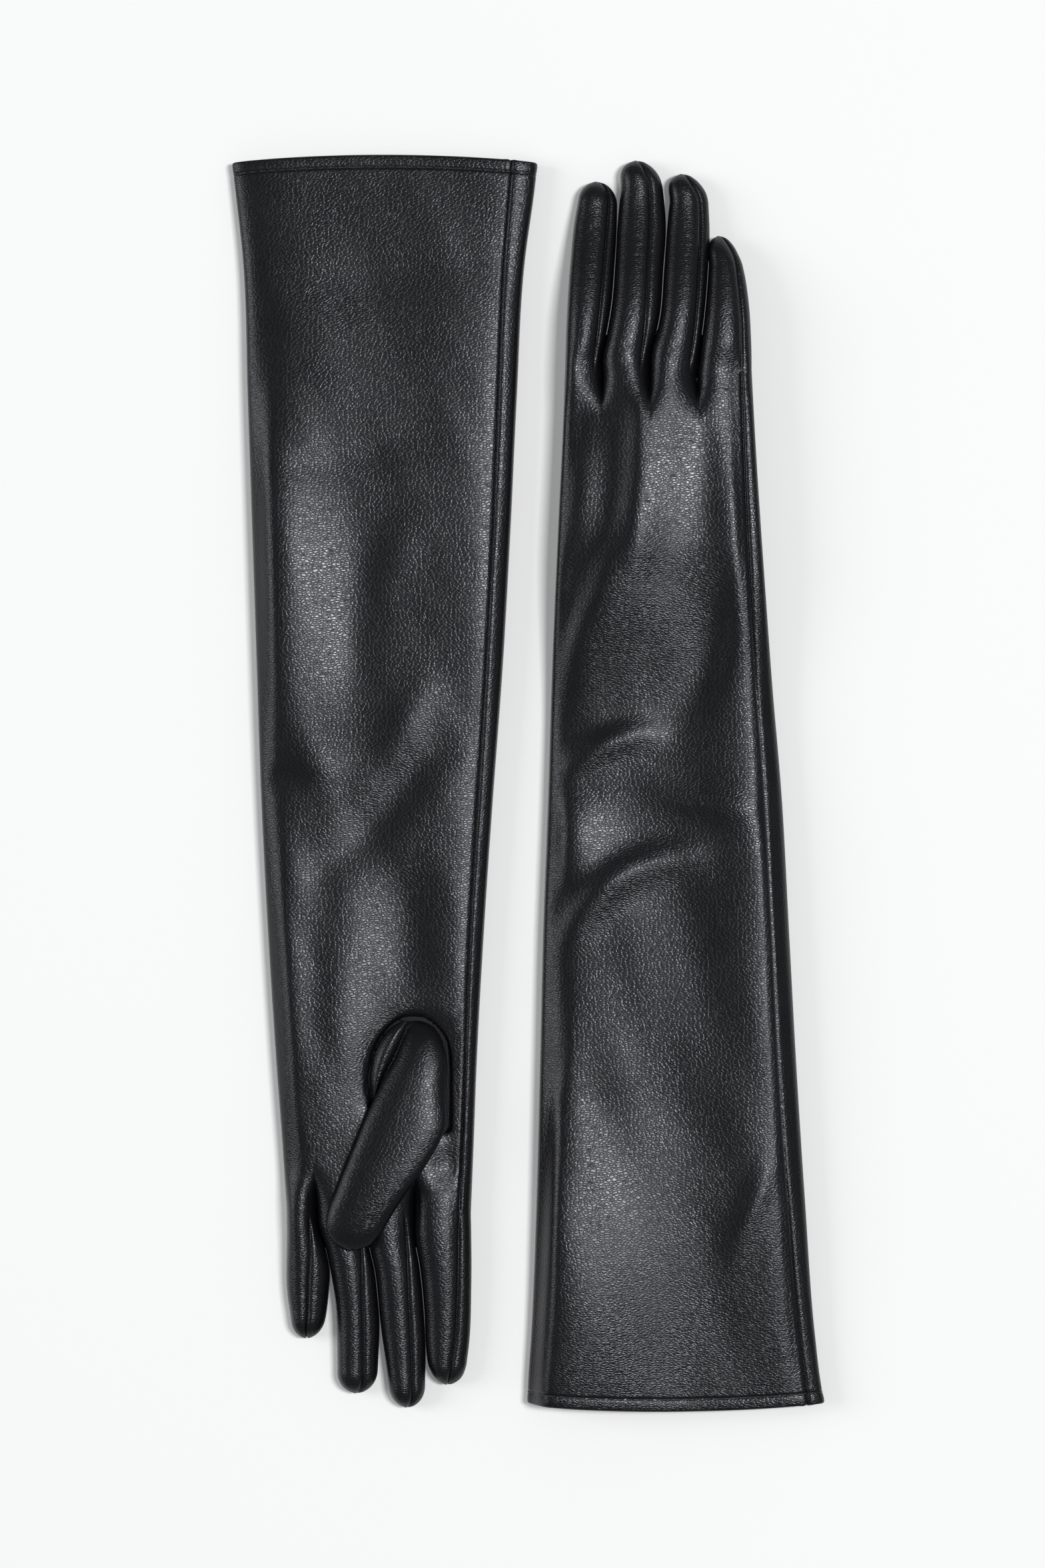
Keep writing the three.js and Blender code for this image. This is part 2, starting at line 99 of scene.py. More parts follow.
# ---- The two gloves ----
# Outlines are (along, x) points. Fingers run from the glove's right edge to its left edge.
GLOVES = {
    "left": {
        "hem_y": 274.7,
        "way": -1,
        "webs": 462,
        "top": "palm",
        "left": [(0, -131), (10, -129.8), (45, -126), (104, -124), (163, -122), (223, -120), (282, -118),
                 (341, -115), (400, -111.2), (435, -108.6), (462, -106.8)],
        "right": [(0, 4.2), (10, 3.1), (45, -1.6), (104, -5), (163, -7.8), (223, -11.2), (282, -15.6),
                  (341, -19.6), (400, -22.8), (435, -24.1), (462, -25.2)],
        "seam": [(0, -7), (45, -10.6), (104, -13.1), (163, -15.4), (223, -18.6), (282, -22.2), (341, -25.6),
                 (400, -27.9), (435, -29.2), (462, -30.2)],
        "fingers": [
            {
                "name": "index", "tip": (540.2, -35.4), "knuckle": 491,
                "right": [(462, -25.2), (496, -25), (523, -26.1), (534, -27.6)],
                "left": [(462, -50.4), (474, -50.3), (488, -47.9), (508, -45.9), (526, -45), (534, -43.9)],
                "seam": [(462, -30.2), (500, -30.9), (520, -32), (540, -35.3)],
            },
            {
                "name": "middle", "tip": (550.3, -53.4), "knuckle": 492,
                "right": [(462, -50.4), (474, -50.5), (488, -48.1), (508, -46.1), (526, -45.3), (541, -45.6)],
                "left": [(462, -70.2), (478, -70.3), (490, -67.7), (502, -66.3), (510, -65.6), (526, -63.6),
                         (541, -61.6)],
                "seam": [(462, -54.6), (476, -53.4), (502, -52.4), (526, -51.3), (550, -50.9)],
            },
            {
                "name": "ring", "tip": (544, -75.8), "knuckle": 491,
                "right": [(462, -70.2), (478, -70.5), (490, -67.9), (502, -66.5), (510, -65.8), (533, -66.4)],
                "left": [(462, -93.6), (469, -93.1), (480, -89.4), (490, -87.3), (502, -85.4), (533, -84.2)],
                "seam": [(462, -74.8), (481, -73.2), (502, -73), (543, -72.4)],
            },
            {
                "name": "little", "tip": (519.7, -97.8), "knuckle": 485,
                "right": [(462, -93.6), (469, -93.3), (480, -89.6), (490, -87.6), (500, -88.2), (511, -89.4)],
                "left": [(462, -106.8), (471, -106.6), (502, -106.2), (512, -104.6)],
                "seam": [(462, -97), (470, -96), (495, -97), (518, -97.6)],
            },
        ],
    },
    "right": {
        "hem_y": -273.8,
        "way": 1,
        "webs": 454,
        "top": "back",
        "left": [(0, -0.4), (10, 0), (30, 1.3), (90, 3.7), (149, 5.2), (208, 6.6), (267, 8.8), (326, 10.6),
                 (385, 13.1), (444, 15.8), (454, 16.1)],
        "right": [(0, 131.2), (7, 129.8), (30, 126.9), (90, 122.4), (149, 118.6), (208, 115.4), (267, 112.2),
                  (326, 107.2), (385, 102.7), (444, 99.1), (454, 98.6)],
        "seam": [(0, 123.6), (30, 119.8), (90, 114.8), (149, 110.7), (208, 107.7), (267, 104.7), (326, 100.1),
                 (385, 96.4), (444, 94.1), (454, 93.9)],
        "fingers": [
            {
                "name": "little", "tip": (515.7, 84.6), "knuckle": 485,
                "right": [(454, 98.6), (470, 98.2), (484, 97.4), (498, 95.6), (508, 93.4)],
                "left": [(454, 74.4), (464, 75.6), (480, 77.7), (502, 79.6), (508, 80)],
                "seam": [(454, 93.9), (475, 94), (495, 92.6), (514, 90.4)],
            },
            {
                "name": "ring", "tip": (543.4, 68.4), "knuckle": 491,
                "right": [(454, 74.4), (464, 75.4), (480, 77.5), (502, 79.4), (516, 80.2), (534, 79.6)],
                "left": [(454, 53.4), (464, 54), (475, 57.2), (502, 60), (520, 61.4), (536, 63)],
                "seam": [(454, 70.6), (466, 72.6), (502, 75.5), (529, 75.8), (542, 74.6)],
            },
            {
                "name": "middle", "tip": (549.3, 48.2), "knuckle": 492,
                "right": [(454, 53.4), (464, 53.8), (475, 57), (502, 59.8), (520, 61), (540, 59.4)],
                "left": [(454, 32.6), (461, 32.2), (470, 34.2), (484, 36.7), (502, 38.3), (520, 39.4),
                         (541, 41.4)],
                "seam": [(454, 49), (475, 51.6), (502, 52.7), (529, 54), (547, 53.6)],
            },
            {
                "name": "index", "tip": (540, 30.3), "knuckle": 491,
                "right": [(454, 32.6), (461, 32), (470, 34), (484, 36.5), (502, 38.1), (520, 39.2),
                          (531, 39.4)],
                "left": [(454, 16.1), (480, 17), (503, 18.5), (527, 21.2), (532, 22.2)],
                "seam": [(454, 28.6), (470, 30.6), (502, 33.5), (534, 36.4)],
            },
        ],
    },
}

# Folds in the leather: (height, width on the line's left, width on its right, points along the line). Lines
# run towards +Y, with their left towards -X, or towards +X, with their left towards +Y.
FOLDS = {
    "left": [
        (-1.0, 10, 14, [(-126, 226), (-70, 222), (-10, 229)]),
        (-0.8, 5, 9, [(-121, 139), (-78, 145), (-38, 151)]),
        (4.6, 8, 20, [(-113, 4), (-113, 80), (-113, 138), (-111, 184)]),
        (-1.3, 12, 10, [(-72, 22), (-76, 46), (-74, 120)]),
        (1.2, 8, 7, [(-62, 6), (-54, 26), (-44, 48)]),
        (-1.7, 8, 9, [(-96, -44), (-70, -20), (-50, 5), (-32, 26)]),
        (-1.3, 3.5, 4, [(-118, 0), (-107, 3), (-97, 2)]),
        (1.2, 8, 10, [(-108, 12), (-92, 9), (-78, 4)]),
        (3.6, 7, 15, [(-102, -192), (-107, -110), (-111, -50), (-113, -4)]),
        (1.7, 10, 13, [(-89, -165), (-85, -125), (-82, -80), (-81, -32)]),
        (-1.4, 12, 12, [(-52, -98), (-52, -30)]),
        (0.7, 7, 9, [(-66, 78), (-59, 98), (-50, 122)]),
    ],
    "right": [
        (4.4, 9, 22, [(47, 92), (50, 130), (52, 186)]),
        (2.0, 9, 5, [(92, 60), (89, 120), (87, 178)]),
        (2.6, 7, 17, [(8, 30), (20, 57), (34, 89), (48, 130)]),
        (1.9, 6, 10, [(17, 92), (19, 116), (23, 152)]),
        (-2.2, 12, 8, [(66, 24), (80, 56), (88, 104)]),
        (3.3, 4.5, 6, [(14, 6), (34, 18), (50, 23), (62, 20)]),
        (1.9, 5, 7, [(50, 1), (74, -7), (104, -11)]),
        (2.9, 6, 14, [(17, -50), (17, -2)]),
        (3.6, 5, 9, [(13, -72), (34, -44), (55, -33), (82, -28)]),
        (2.3, 6, 14, [(11, -214), (15, -140), (17, -62)]),
        (0.9, 14, 26, [(38, -185), (40, -66)]),
        (9.6, 7, 50, [(2, -340), (8, -240), (12, -190), (15, -140)]),
        (1.6, 6, 4, [(88, -214), (98, -190), (107, -166)]),
        (3.6, 24, 6, [(113, -270), (107, -130), (101, -20), (96, 60), (92, 150)]),
    ],
}


# ---- Curves and fields ----
def smooth(t):
    t = np.clip(t, 0, 1)
    return t * t * (3 - 2 * t)


def curve(points):
    """A smooth function through (place, value) points, level beyond both ends."""
    places = np.array([p for p, _ in points], float)
    values = np.array([v for _, v in points], float)
    slopes = np.gradient(values, places)

    def at(place):
        place = np.clip(np.asarray(place, float), places[0], places[-1])
        i = np.clip(np.searchsorted(places, place, side="right") - 1, 0, len(places) - 2)
        step = places[i + 1] - places[i]
        t = (place - places[i]) / step
        return (
            (2 * t**3 - 3 * t**2 + 1) * values[i]
            + (t**3 - 2 * t**2 + t) * step * slopes[i]
            + (3 * t**2 - 2 * t**3) * values[i + 1]
            + (t**3 - t**2) * step * slopes[i + 1]
        )

    return at


def distance_to_line(x, y, points):
    """Signed distance of every (x, y) to a line through the points, and the share of the line passed."""
    points = np.array(points, float)
    steps = np.hypot(*np.diff(points, axis=0).T)
    passed = np.concatenate([[0], np.cumsum(steps)])
    nearest = np.full(np.shape(x), np.inf)
    sign = np.ones(np.shape(x))
    share = np.zeros(np.shape(x))
    for i, step in enumerate(steps):
        (ax, ay), (bx, by) = points[i], points[i + 1]
        t = np.clip(((x - ax) * (bx - ax) + (y - ay) * (by - ay)) / step**2, 0, 1)
        away = np.hypot(x - ax - t * (bx - ax), y - ay - t * (by - ay))
        closer = away < nearest
        turn = (bx - ax) * (y - ay) - (by - ay) * (x - ax)
        sign = np.where(closer, np.where(turn < 0, -1, 1), sign)
        share = np.where(closer, (passed[i] + t * step) / passed[-1], share)
        nearest = np.where(closer, away, nearest)
    return nearest * sign, share


def rounded_line(points, steps=4):
    """More points on a smooth curve through the given ones."""
    if len(points) < 3:
        return points
    order = np.arange(len(points))
    fine = np.linspace(0, len(points) - 1, steps * (len(points) - 1) + 1)
    xs = curve(list(zip(order, [p[0] for p in points])))(fine)
    ys = curve(list(zip(order, [p[1] for p in points])))(fine)
    return list(zip(xs, ys))


def fold_height(x, y, folds):
    """Ridges and valleys that fade out towards both ends; each side of the line has its own width."""
    total = np.zeros(np.shape(x))
    for height, width_on_left, width_on_right, points in folds:
        away, share = distance_to_line(x, y, rounded_line(points))
        width = np.where(away > 0, width_on_left, width_on_right)
        total += height * np.exp(-((away / width) ** 2)) * np.sin(np.pi * (0.03 + 0.94 * share))
    return total


def waves(x, y, seed, count=26, longest=90, shortest=14):
    """A gentle unevenness: a sum of sine waves, longer along the glove than across it."""
    rng = np.random.default_rng(seed)
    total = np.zeros(np.shape(x))
    for _ in range(count):
        length = rng.uniform(shortest, longest)
        turn = rng.normal(0, 0.5)
        phase = rng.uniform(0, 2 * math.pi)
        along = x * math.cos(turn) + 0.45 * y * math.sin(turn) + 0.3 * y
        total += (length / longest) * np.sin(2 * math.pi * along / length + phase)
    return total / count


# ---- The closed surface of one glove ----
def both_ends(steps):
    """Places from 0 to 1 that crowd at both ends."""
    return (1 - np.cos(np.pi * np.linspace(0, 1, steps + 1))) / 2


def arm_spacing(steps):
    """Places from 0 to 1 that crowd at both ends more strongly."""
    s = np.linspace(0, 1, steps + 1)
    return s - 0.93 * np.sin(2 * np.pi * s) / (2 * np.pi)


def arm_columns(start, seam, end):
    """x of the arm's columns from one edge over its seam to the other edge."""
    return np.concatenate([
        start + (seam - start) * both_ends(STRIP_STEPS)[:-1],
        seam + (end - seam) * arm_spacing(TOP_STEPS - STRIP_STEPS),
    ])


def low_strip(k):
    """Width of a finger's strip on the underside, wider on the outermost finger."""
    return BOTTOM_STRIP if k == 3 else FINGER_STRIP


def finger_arch(across, top):
    """Height of a finger's section, from 0 to 1, across it from -1 to 1. The top side leans to the left."""
    power = FINGER_CROWN if top else UNDERSIDE
    lean = across - FINGER_LEAN * top * (1 - across**2)
    return np.maximum(0, 1 - np.abs(lean) ** power) ** (1 / power)


def section_z(edge, reach, fill, top):
    """Height of a section's points above or below its folded edge."""
    return edge + reach * fill if top else edge - reach * np.minimum(1, FLATTEN * fill)


def softened(field):
    """Rounds off the kinks where one fold's line turns, leaving the first and last rows as they are."""
    for _ in range(3):
        along = field.copy()
        along[1:-1] = (field[:-2] + 2 * field[1:-1] + field[2:]) / 4
        field = (np.roll(along, 1, axis=1) + 2 * along + np.roll(along, -1, axis=1)) / 4
    return field


class Glove:
    """The outline, heights and seams of one glove, and the grids of points that they make."""

    def __init__(self, side, data):
        self.side = side
        self.data = data
        self.way = data["way"]
        self.webs = data["webs"]
        self.left = curve(data["left"])
        self.right = curve(data["right"])
        self.seam = curve(data["seam"])
        self.height = curve([(0, 13), (60, 15.5), (200, 17), (340, 15.5), (400, 15.5), (470, 15)])
        self.fingers = [dict(finger) for finger in data["fingers"]]
        for finger in self.fingers:
            for edge in ("left", "right", "seam"):
                finger[edge] = curve(finger[edge])

    def y(self, along):
        return self.data["hem_y"] + self.way * along

    def boundaries(self, along):
        """x of the four fingers' borders at the webs, scaled to the glove's width at each row."""
        left, right = self.left(along), self.right(along)
        at = [f["right"](self.webs) for f in self.fingers] + [self.fingers[-1]["left"](self.webs)]
        share = [(a - at[-1]) / (at[0] - at[-1]) for a in at]
        return [left + s * (right - left) for s in share]

    def top_row(self, along):
        """x across the top from the right edge to the left, and the place t across one finger."""
        left, right, seam = self.left(along), self.right(along), self.seam(along)
        arm = arm_columns(right, seam, left)
        borders = self.boundaries(along)
        hand = []
        for k, finger in enumerate(self.fingers):
            width = borders[k] - borders[k + 1]
            if k == 0:
                strip = float(right - seam) / width
            else:
                own = float(finger["right"](self.webs) - finger["seam"](self.webs))
                strip = own / float(finger["right"](self.webs) - finger["left"](self.webs))
            places = finger_places(strip)
            hand.append(borders[k] - width * places[: None if k == 3 else -1])
        return self.blend_row(along, arm, np.concatenate(hand), borders)

    def bottom_row(self, along):
        """The same across the underside, from the left edge to the right."""
        left, right = self.left(along), self.right(along)
        arm = arm_columns(left, left + BOTTOM_STRIP, right)
        borders = self.boundaries(along)
        hand = []
        for k in (3, 2, 1, 0):
            width = borders[k] - borders[k + 1]
            places = finger_places(low_strip(k) / width)
            hand.append(borders[k + 1] + width * places[: None if k == 0 else -1])
        return self.blend_row(along, arm, np.concatenate(hand), borders)

    def blend_row(self, along, arm, hand, borders):
        """Turns a row's arm columns into its hand columns, and gives each point's place across its finger."""
        x = arm + (hand - arm) * smooth((along - TURN_FROM) / (self.webs - TURN_FROM - 6))
        across = np.zeros(len(x))
        for k in range(4):
            inside = (x <= borders[k] + 1e-6) & (x >= borders[k + 1] - 1e-6)
            across[inside] = 2 * (borders[k] - x[inside]) / (borders[k] - borders[k + 1]) - 1
        return x, across

    def body_grid(self, rows):
        """Rows of (along, inset) pairs become a grid of points round the glove."""
        grid, relief = [], []
        for along, inset in rows:
            left, right = float(self.left(along)), float(self.right(along))
            middle, half = (left + right) / 2, (right - left) / 2
            tall = float(self.height(along))
            edge = EDGE_SHARE * tall
            swell = float(smooth((along - self.webs + SWELL) / SWELL)) ** 1.6
            bow = HEM_BOW * (1 - smooth(along / 30))
            points, dz = [], []
            for top in (True, False):
                x, across = self.top_row(along) if top else self.bottom_row(along)
                share = np.clip((x - middle) / half, -1, 1)
                power = CROWN if top else UNDERSIDE
                flat = (1 - np.abs(share) ** power) ** (1 / power)
                fill = flat + (finger_arch(across, top) - flat) * swell
                x = middle + (x - middle) * (half - inset) / half
                y = self.y(along - bow * (1 - share**2)) * np.ones(len(x))
                reach = (tall - edge if top else edge) - inset
                z = section_z(edge, reach, fill, top)
                dz.append(self.lie(x, y, along, top, half, middle)[:-1])
                row = np.stack([x, y, z + self.raised(along)], axis=1)
                points.append(row[:-1])
            grid.append(np.concatenate(points))
            relief.append(np.concatenate(dz))
        grid = np.array(grid)
        grid[..., 2] += softened(np.array(relief))
        return grid

    def raised(self, along):
        return float(hand_lift(along)) if self.side == "right" else 0.0

    def lie(self, x, y, along, top, half, middle):
        """How the leather has settled: folds, unevenness, the rolled seam, and the thumb under the hand."""
        inward = np.minimum(x - (middle - half), middle + half - x)
        dz = np.zeros(len(x))
        if top:
            settled = smooth(inward / 9)
            dz += settled * fold_height(x, y, FOLDS[self.side])
            dz += settled * UNEVENNESS * waves(x, y, WAVE_SEED[self.side])
            from_seam = x - float(self.seam(along))
            dz -= 0.5 * np.exp(-((from_seam / 2.4) ** 2))
            bowl = (1 - np.clip(np.abs(x - middle) / half, 0, 1) ** 2) ** 1.5
            dz -= SAG * bowl * (1 - smooth((along - 410) / 50))
        if self.side == "right" and top:
            dz -= 0.35 * hand_lift(along) * settled * np.clip(np.abs(x - 47) / 40, 0, 1)
        return dz

    def finger_grid(self, k):
        """The closed tube of one finger, from the webs to its tip."""
        finger = self.fingers[k]
        tip, tip_x = finger["tip"]
        hand_middle = float(self.left(self.webs) + self.right(self.webs)) / 2
        hand_half = float(self.right(self.webs) - self.left(self.webs)) / 2
        straight = np.linspace(self.webs, tip - TIP_RADIUS, int((tip - TIP_RADIUS - self.webs) / 1.5))
        turning = tip - TIP_RADIUS + TIP_RADIUS * np.sin(np.radians(np.linspace(0, 88, 13)[1:]))
        grid = []
        for along in np.concatenate([straight, turning]):
            left, right = float(finger["left"](along)), float(finger["right"](along))
            seam = float(finger["seam"](along))
            strip = (right - seam) / (right - left)
            close = math.sqrt(max(0.0012, 1 - max(0.0, (along - tip + TIP_RADIUS) / TIP_RADIUS) ** 2))
            toward = float(smooth((along - tip + 13) / 13))
            middle = (left + right) / 2 * (1 - toward) + tip_x * toward
            half = (right - left) / 2 * close
            passed = float(smooth((along - self.webs) / (tip - self.webs)))
            tall = float(self.height(self.webs)) * (1 - 0.2 * passed)
            edge = EDGE_SHARE * tall
            top_places = finger_places(strip)
            bottom_places = finger_places(low_strip(k) / (right - left))
            points = []
            for top, places in ((True, 1 - 2 * top_places), (False, 2 * bottom_places - 1)):
                x = middle + half * places
                reach = (tall - edge if top else edge) * close
                z = section_z(edge, reach, finger_arch(-places, top), top)
                y = np.full(len(x), self.y(along))
                fade = 1 - smooth((along - self.webs) / 16)
                z = z + fade * self.lie(x, y, along, top, hand_half, hand_middle) + self.raised(along)
                if top:
                    from_seam = x - middle - half * (1 - 2 * strip)
                    z = z - 0.9 * (1 - fade) * close * np.exp(-((from_seam / 2.2) ** 2))
                row = np.stack([x, y, z], axis=1)
                points.append(row[:-1])
            grid.append(np.concatenate(points))
        return np.array(grid)


def finger_places(strip):
    """Places 0 to 1 across a finger, from the edge beside its seam, with one exactly on the seam."""
    return np.concatenate([
        strip * both_ends(STRIP_STEPS)[:-1],
        strip + (1 - strip) * both_ends(MAIN_STEPS),
    ])


def hand_lift(along):
    """Height of the right glove above the table: it rises onto the thumb and comes down in the fingers."""
    return THUMB_LIFT * (smooth((along - LIFT_FROM) / LIFT_RISE) - smooth((along - LIFT_UNTIL) / LIFT_FALL))


# ---- Grids to meshes ----
def grid_normals(points, way, ring=True):
    """The normal at each point of a grid, which a ring's rows close across."""
    along = np.gradient(points, axis=0)
    if ring:
        across = np.roll(points, -1, axis=1) - np.roll(points, 1, axis=1)
    else:
        across = np.gradient(points, axis=1)
    normals = way * np.cross(along, across)
    return normals / np.maximum(np.linalg.norm(normals, axis=2, keepdims=True), 1e-9)


def lengths(points):
    """Running length across each row and along each column, for the leather's grain."""
    across = np.cumsum(np.linalg.norm(np.diff(points, axis=1, prepend=points[:, :1]), axis=2), axis=1)
    along = np.cumsum(np.linalg.norm(np.diff(points, axis=0, prepend=points[:1]), axis=2), axis=0)
    middle = across.shape[1] // 2
    return across - across[:, middle : middle + 1], along[:, middle : middle + 1] * np.ones(across.shape)


def sheet_faces(points, normals):
    """The faces of the outer side, the inner side and the rims of a sheet."""
    rows, columns = points.shape[:2]
    outer = points.reshape(-1, 3)
    at = np.arange(rows * columns).reshape(rows, columns)
    quads = np.stack([at[:-1, :-1], at[:-1, 1:], at[1:, 1:], at[1:, :-1]], axis=-1).reshape(-1, 4)
    first = quads[len(quads) // 2]
    facing = np.cross(outer[first[1]] - outer[first[0]], outer[first[3]] - outer[first[0]])
    if facing @ normals.reshape(-1, 3)[first[0]] < 0:
        quads = quads[:, ::-1]
    back = quads[:, ::-1] + rows * columns
    rim = np.concatenate([at[0, :], at[1:, -1], at[-1, -2::-1], at[-2:0:-1, 0]])
    ahead = np.roll(rim, -1)
    sides = np.stack([rim, ahead, ahead + rows * columns, rim + rows * columns], axis=1)
    step = quads[0]
    if any(step[i] == rim[0] and step[(i + 1) % 4] == ahead[0] for i in range(4)):
        sides = sides[:, ::-1]
    return np.concatenate([quads, back, sides])


def make_sheet(name, points, normals, material, thickness=LEATHER, start=0.0):
    """A sheet with an outer and an inner side and closed rims, from a grid of points."""
    outer = points.reshape(-1, 3)
    inner = (points - normals * thickness).reshape(-1, 3)
    verts = np.concatenate([outer, inner]) * MM
    faces = sheet_faces(points, normals)
    mesh = bpy.data.meshes.new(name)
    mesh.from_pydata(verts.tolist(), [], faces.tolist())
    mesh.polygons.foreach_set("use_smooth", np.ones(len(faces), bool))
    across, along = lengths(points)
    uv = np.stack([across, along + start], axis=2).reshape(-1, 2) * MM
    uv = np.concatenate([uv, uv])
    loops = np.zeros(len(mesh.loops), int)
    mesh.loops.foreach_get("vertex_index", loops)
    mesh.uv_layers.new(name="Grain").data.foreach_set("uv", uv[loops].ravel())
    mesh.materials.append(material)
    flat = normals.reshape(-1, 3)
    mesh.normals_split_custom_set_from_vertices(np.concatenate([flat, -flat]).tolist())
    piece = bpy.data.objects.new(name, mesh)
    bpy.context.scene.collection.objects.link(piece)
    return piece


def seam_relief(grid, normals, columns, depth=0.75, width=0.34, ridge=0.2):
    """Presses seams into a grid at some columns, with the leather swelling slightly on both sides."""
    moved = grid.copy()
    for column in columns:
        steps = np.linalg.norm(np.diff(grid, axis=1), axis=2)
        running = np.concatenate([np.zeros((grid.shape[0], 1)), np.cumsum(steps, axis=1)], axis=1)
        whole = running[:, -1:] + np.linalg.norm(grid[:, :1] - grid[:, -1:], axis=2)
        away = np.abs(running - running[:, column : column + 1])
        away = np.minimum(away, whole - away)
        press = ridge * np.exp(-(((away - 1.7) / 1.2) ** 2)) - depth * np.exp(-((away / width) ** 2))
        moved += normals * press[..., None]
    return moved


# ---- Materials ----
def new_material(name):
    material = bpy.data.materials.new(name)
    material.use_nodes = True
    nodes = material.node_tree.nodes
    return material, nodes, material.node_tree.links, nodes["Principled BSDF"]


def add_node(nodes, kind, **settings):
    node = nodes.new(kind)
    for key, value in settings.items():
        setattr(node, key, value)
    return node


def math_node(nodes, links, operation, first, second):
    node = add_node(nodes, "ShaderNodeMath", operation=operation)
    for socket, value in zip(node.inputs, (first, second)):
        if isinstance(value, (int, float)):
            socket.default_value = value
        else:
            links.new(value, socket)
    return node.outputs[0]


def pebble_grain(nodes, links, place):
    """Two sockets: the roundness of wavy pebbles a millimetre across, and their height with finer creases."""
    wander = add_node(nodes, "ShaderNodeTexNoise", noise_dimensions="2D")
    wander.inputs["Scale"].default_value = 330
    wander.inputs["Detail"].default_value = 3
    links.new(place.outputs[0], wander.inputs["Vector"])
    push = add_node(nodes, "ShaderNodeVectorMath", operation="MULTIPLY_ADD")
    links.new(wander.outputs["Color"], push.inputs[0])
    push.inputs[1].default_value = (0.0014, 0.0014, 0)
    links.new(place.outputs[0], push.inputs[2])
    stretch = add_node(nodes, "ShaderNodeVectorMath", operation="MULTIPLY")
    links.new(push.outputs[0], stretch.inputs[0])
    stretch.inputs[1].default_value = (0.5, 1, 1)

    pebbles = add_node(nodes, "ShaderNodeTexVoronoi", voronoi_dimensions="2D", feature="DISTANCE_TO_EDGE")
    pebbles.inputs["Scale"].default_value = 1050
    links.new(stretch.outputs[0], pebbles.inputs["Vector"])
    rounded = add_node(nodes, "ShaderNodeMapRange", interpolation_type="SMOOTHSTEP")
    rounded.inputs["From Max"].default_value = 0.34
    links.new(pebbles.outputs["Distance"], rounded.inputs["Value"])
    fine = add_node(nodes, "ShaderNodeTexNoise", noise_dimensions="2D")
    fine.inputs["Scale"].default_value = 1900
    fine.inputs["Detail"].default_value = 4
    links.new(stretch.outputs[0], fine.inputs["Vector"])
    height = math_node(nodes, links, "MULTIPLY_ADD", fine.outputs[0], 0.45)
    links.new(rounded.outputs[0], height.node.inputs[2])
    return rounded.outputs[0], height


def leather_material():
    """Black faux leather, with a pebbled grain, an uneven satin gloss and painted shade in the creases
    between its pebbles.
    """
    color = (0.0042, 0.0044, 0.0056, 1)
    roughness = 0.26
    grain = 0.00005
    material, nodes, links, shader = new_material("glove_leather")
    place = add_node(nodes, "ShaderNodeUVMap", uv_map="Grain")
    rounded, height = pebble_grain(nodes, links, place)
    bump = add_node(nodes, "ShaderNodeBump")
    bump.inputs["Strength"].default_value = 1.0
    bump.inputs["Distance"].default_value = grain
    links.new(height, bump.inputs["Height"])
    links.new(bump.outputs[0], shader.inputs["Normal"])

    broad = add_node(nodes, "ShaderNodeTexNoise", noise_dimensions="2D")
    broad.inputs["Scale"].default_value = 45
    broad.inputs["Detail"].default_value = 5
    links.new(place.outputs[0], broad.inputs["Vector"])
    gloss = add_node(nodes, "ShaderNodeMapRange")
    gloss.inputs["To Min"].default_value = roughness - 0.06
    gloss.inputs["To Max"].default_value = roughness + 0.07
    links.new(broad.outputs[0], gloss.inputs["Value"])
    between = math_node(nodes, links, "MULTIPLY", rounded, -0.12)
    raised = math_node(nodes, links, "ADD", between, 0.1)
    rough = math_node(nodes, links, "ADD", gloss.outputs[0], raised)
    links.new(rough, shader.inputs["Roughness"])

    # Painted shade: the creases between the pebbles are coloured darker, at 0.55 of the leather's black,
    # while the pebbles' tops keep it.
    painted_relief_shading = add_node(nodes, "ShaderNodeMix", data_type="RGBA")
    painted_relief_shading.inputs["A"].default_value = tuple(0.55 * c for c in color[:3]) + (1,)
    painted_relief_shading.inputs["B"].default_value = color
    links.new(rounded, painted_relief_shading.inputs["Factor"])
    links.new(painted_relief_shading.outputs["Result"], shader.inputs["Base Color"])
    shader.inputs["Specular IOR Level"].default_value = 0.42
    shader.inputs["Specular Tint"].default_value = (0.93, 0.94, 1, 1)
    return material


def apply_bands(nodes, links, shader, bands, depth, light):
    """Raises the bands of a knit or a thread by a depth, and colours them from near black in the grooves to a
    lighter tone on the raised bands: painted shade in the grooves and a painted highlight on the bands.
    """
    bump = add_node(nodes, "ShaderNodeBump")
    bump.inputs["Distance"].default_value = depth
    links.new(bands, bump.inputs["Height"])
    links.new(bump.outputs[0], shader.inputs["Normal"])
    # Painted shade and highlight: the colour follows the bands' height, near black where they are low and the
    # lighter tone where they are raised.
    painted_relief_shading = add_node(nodes, "ShaderNodeMix", data_type="RGBA")
    painted_relief_shading.inputs["A"].default_value = (0.006, 0.006, 0.007, 1)
    painted_relief_shading.inputs["B"].default_value = light
    links.new(bands, painted_relief_shading.inputs["Factor"])
    links.new(painted_relief_shading.outputs["Result"], shader.inputs["Base Color"])


def knit_material():
    """The lining: a fine matt black knit, with painted shade between its rows and a faint painted highlight
    on them.
    """
    material, nodes, links, shader = new_material("glove_lining")
    place = add_node(nodes, "ShaderNodeUVMap", uv_map="Grain")
    rows = add_node(nodes, "ShaderNodeTexWave", wave_type="BANDS", bands_direction="X")
    rows.inputs["Scale"].default_value = 320
    rows.inputs["Distortion"].default_value = 1.5
    links.new(place.outputs[0], rows.inputs["Vector"])
    # Painted shade between the knit's rows and a faint painted highlight on their raised bands.
    apply_bands(nodes, links, shader, rows.outputs["Fac"], 0.0002, (0.015, 0.015, 0.017, 1))
    shader.inputs["Roughness"].default_value = 0.85
    return material


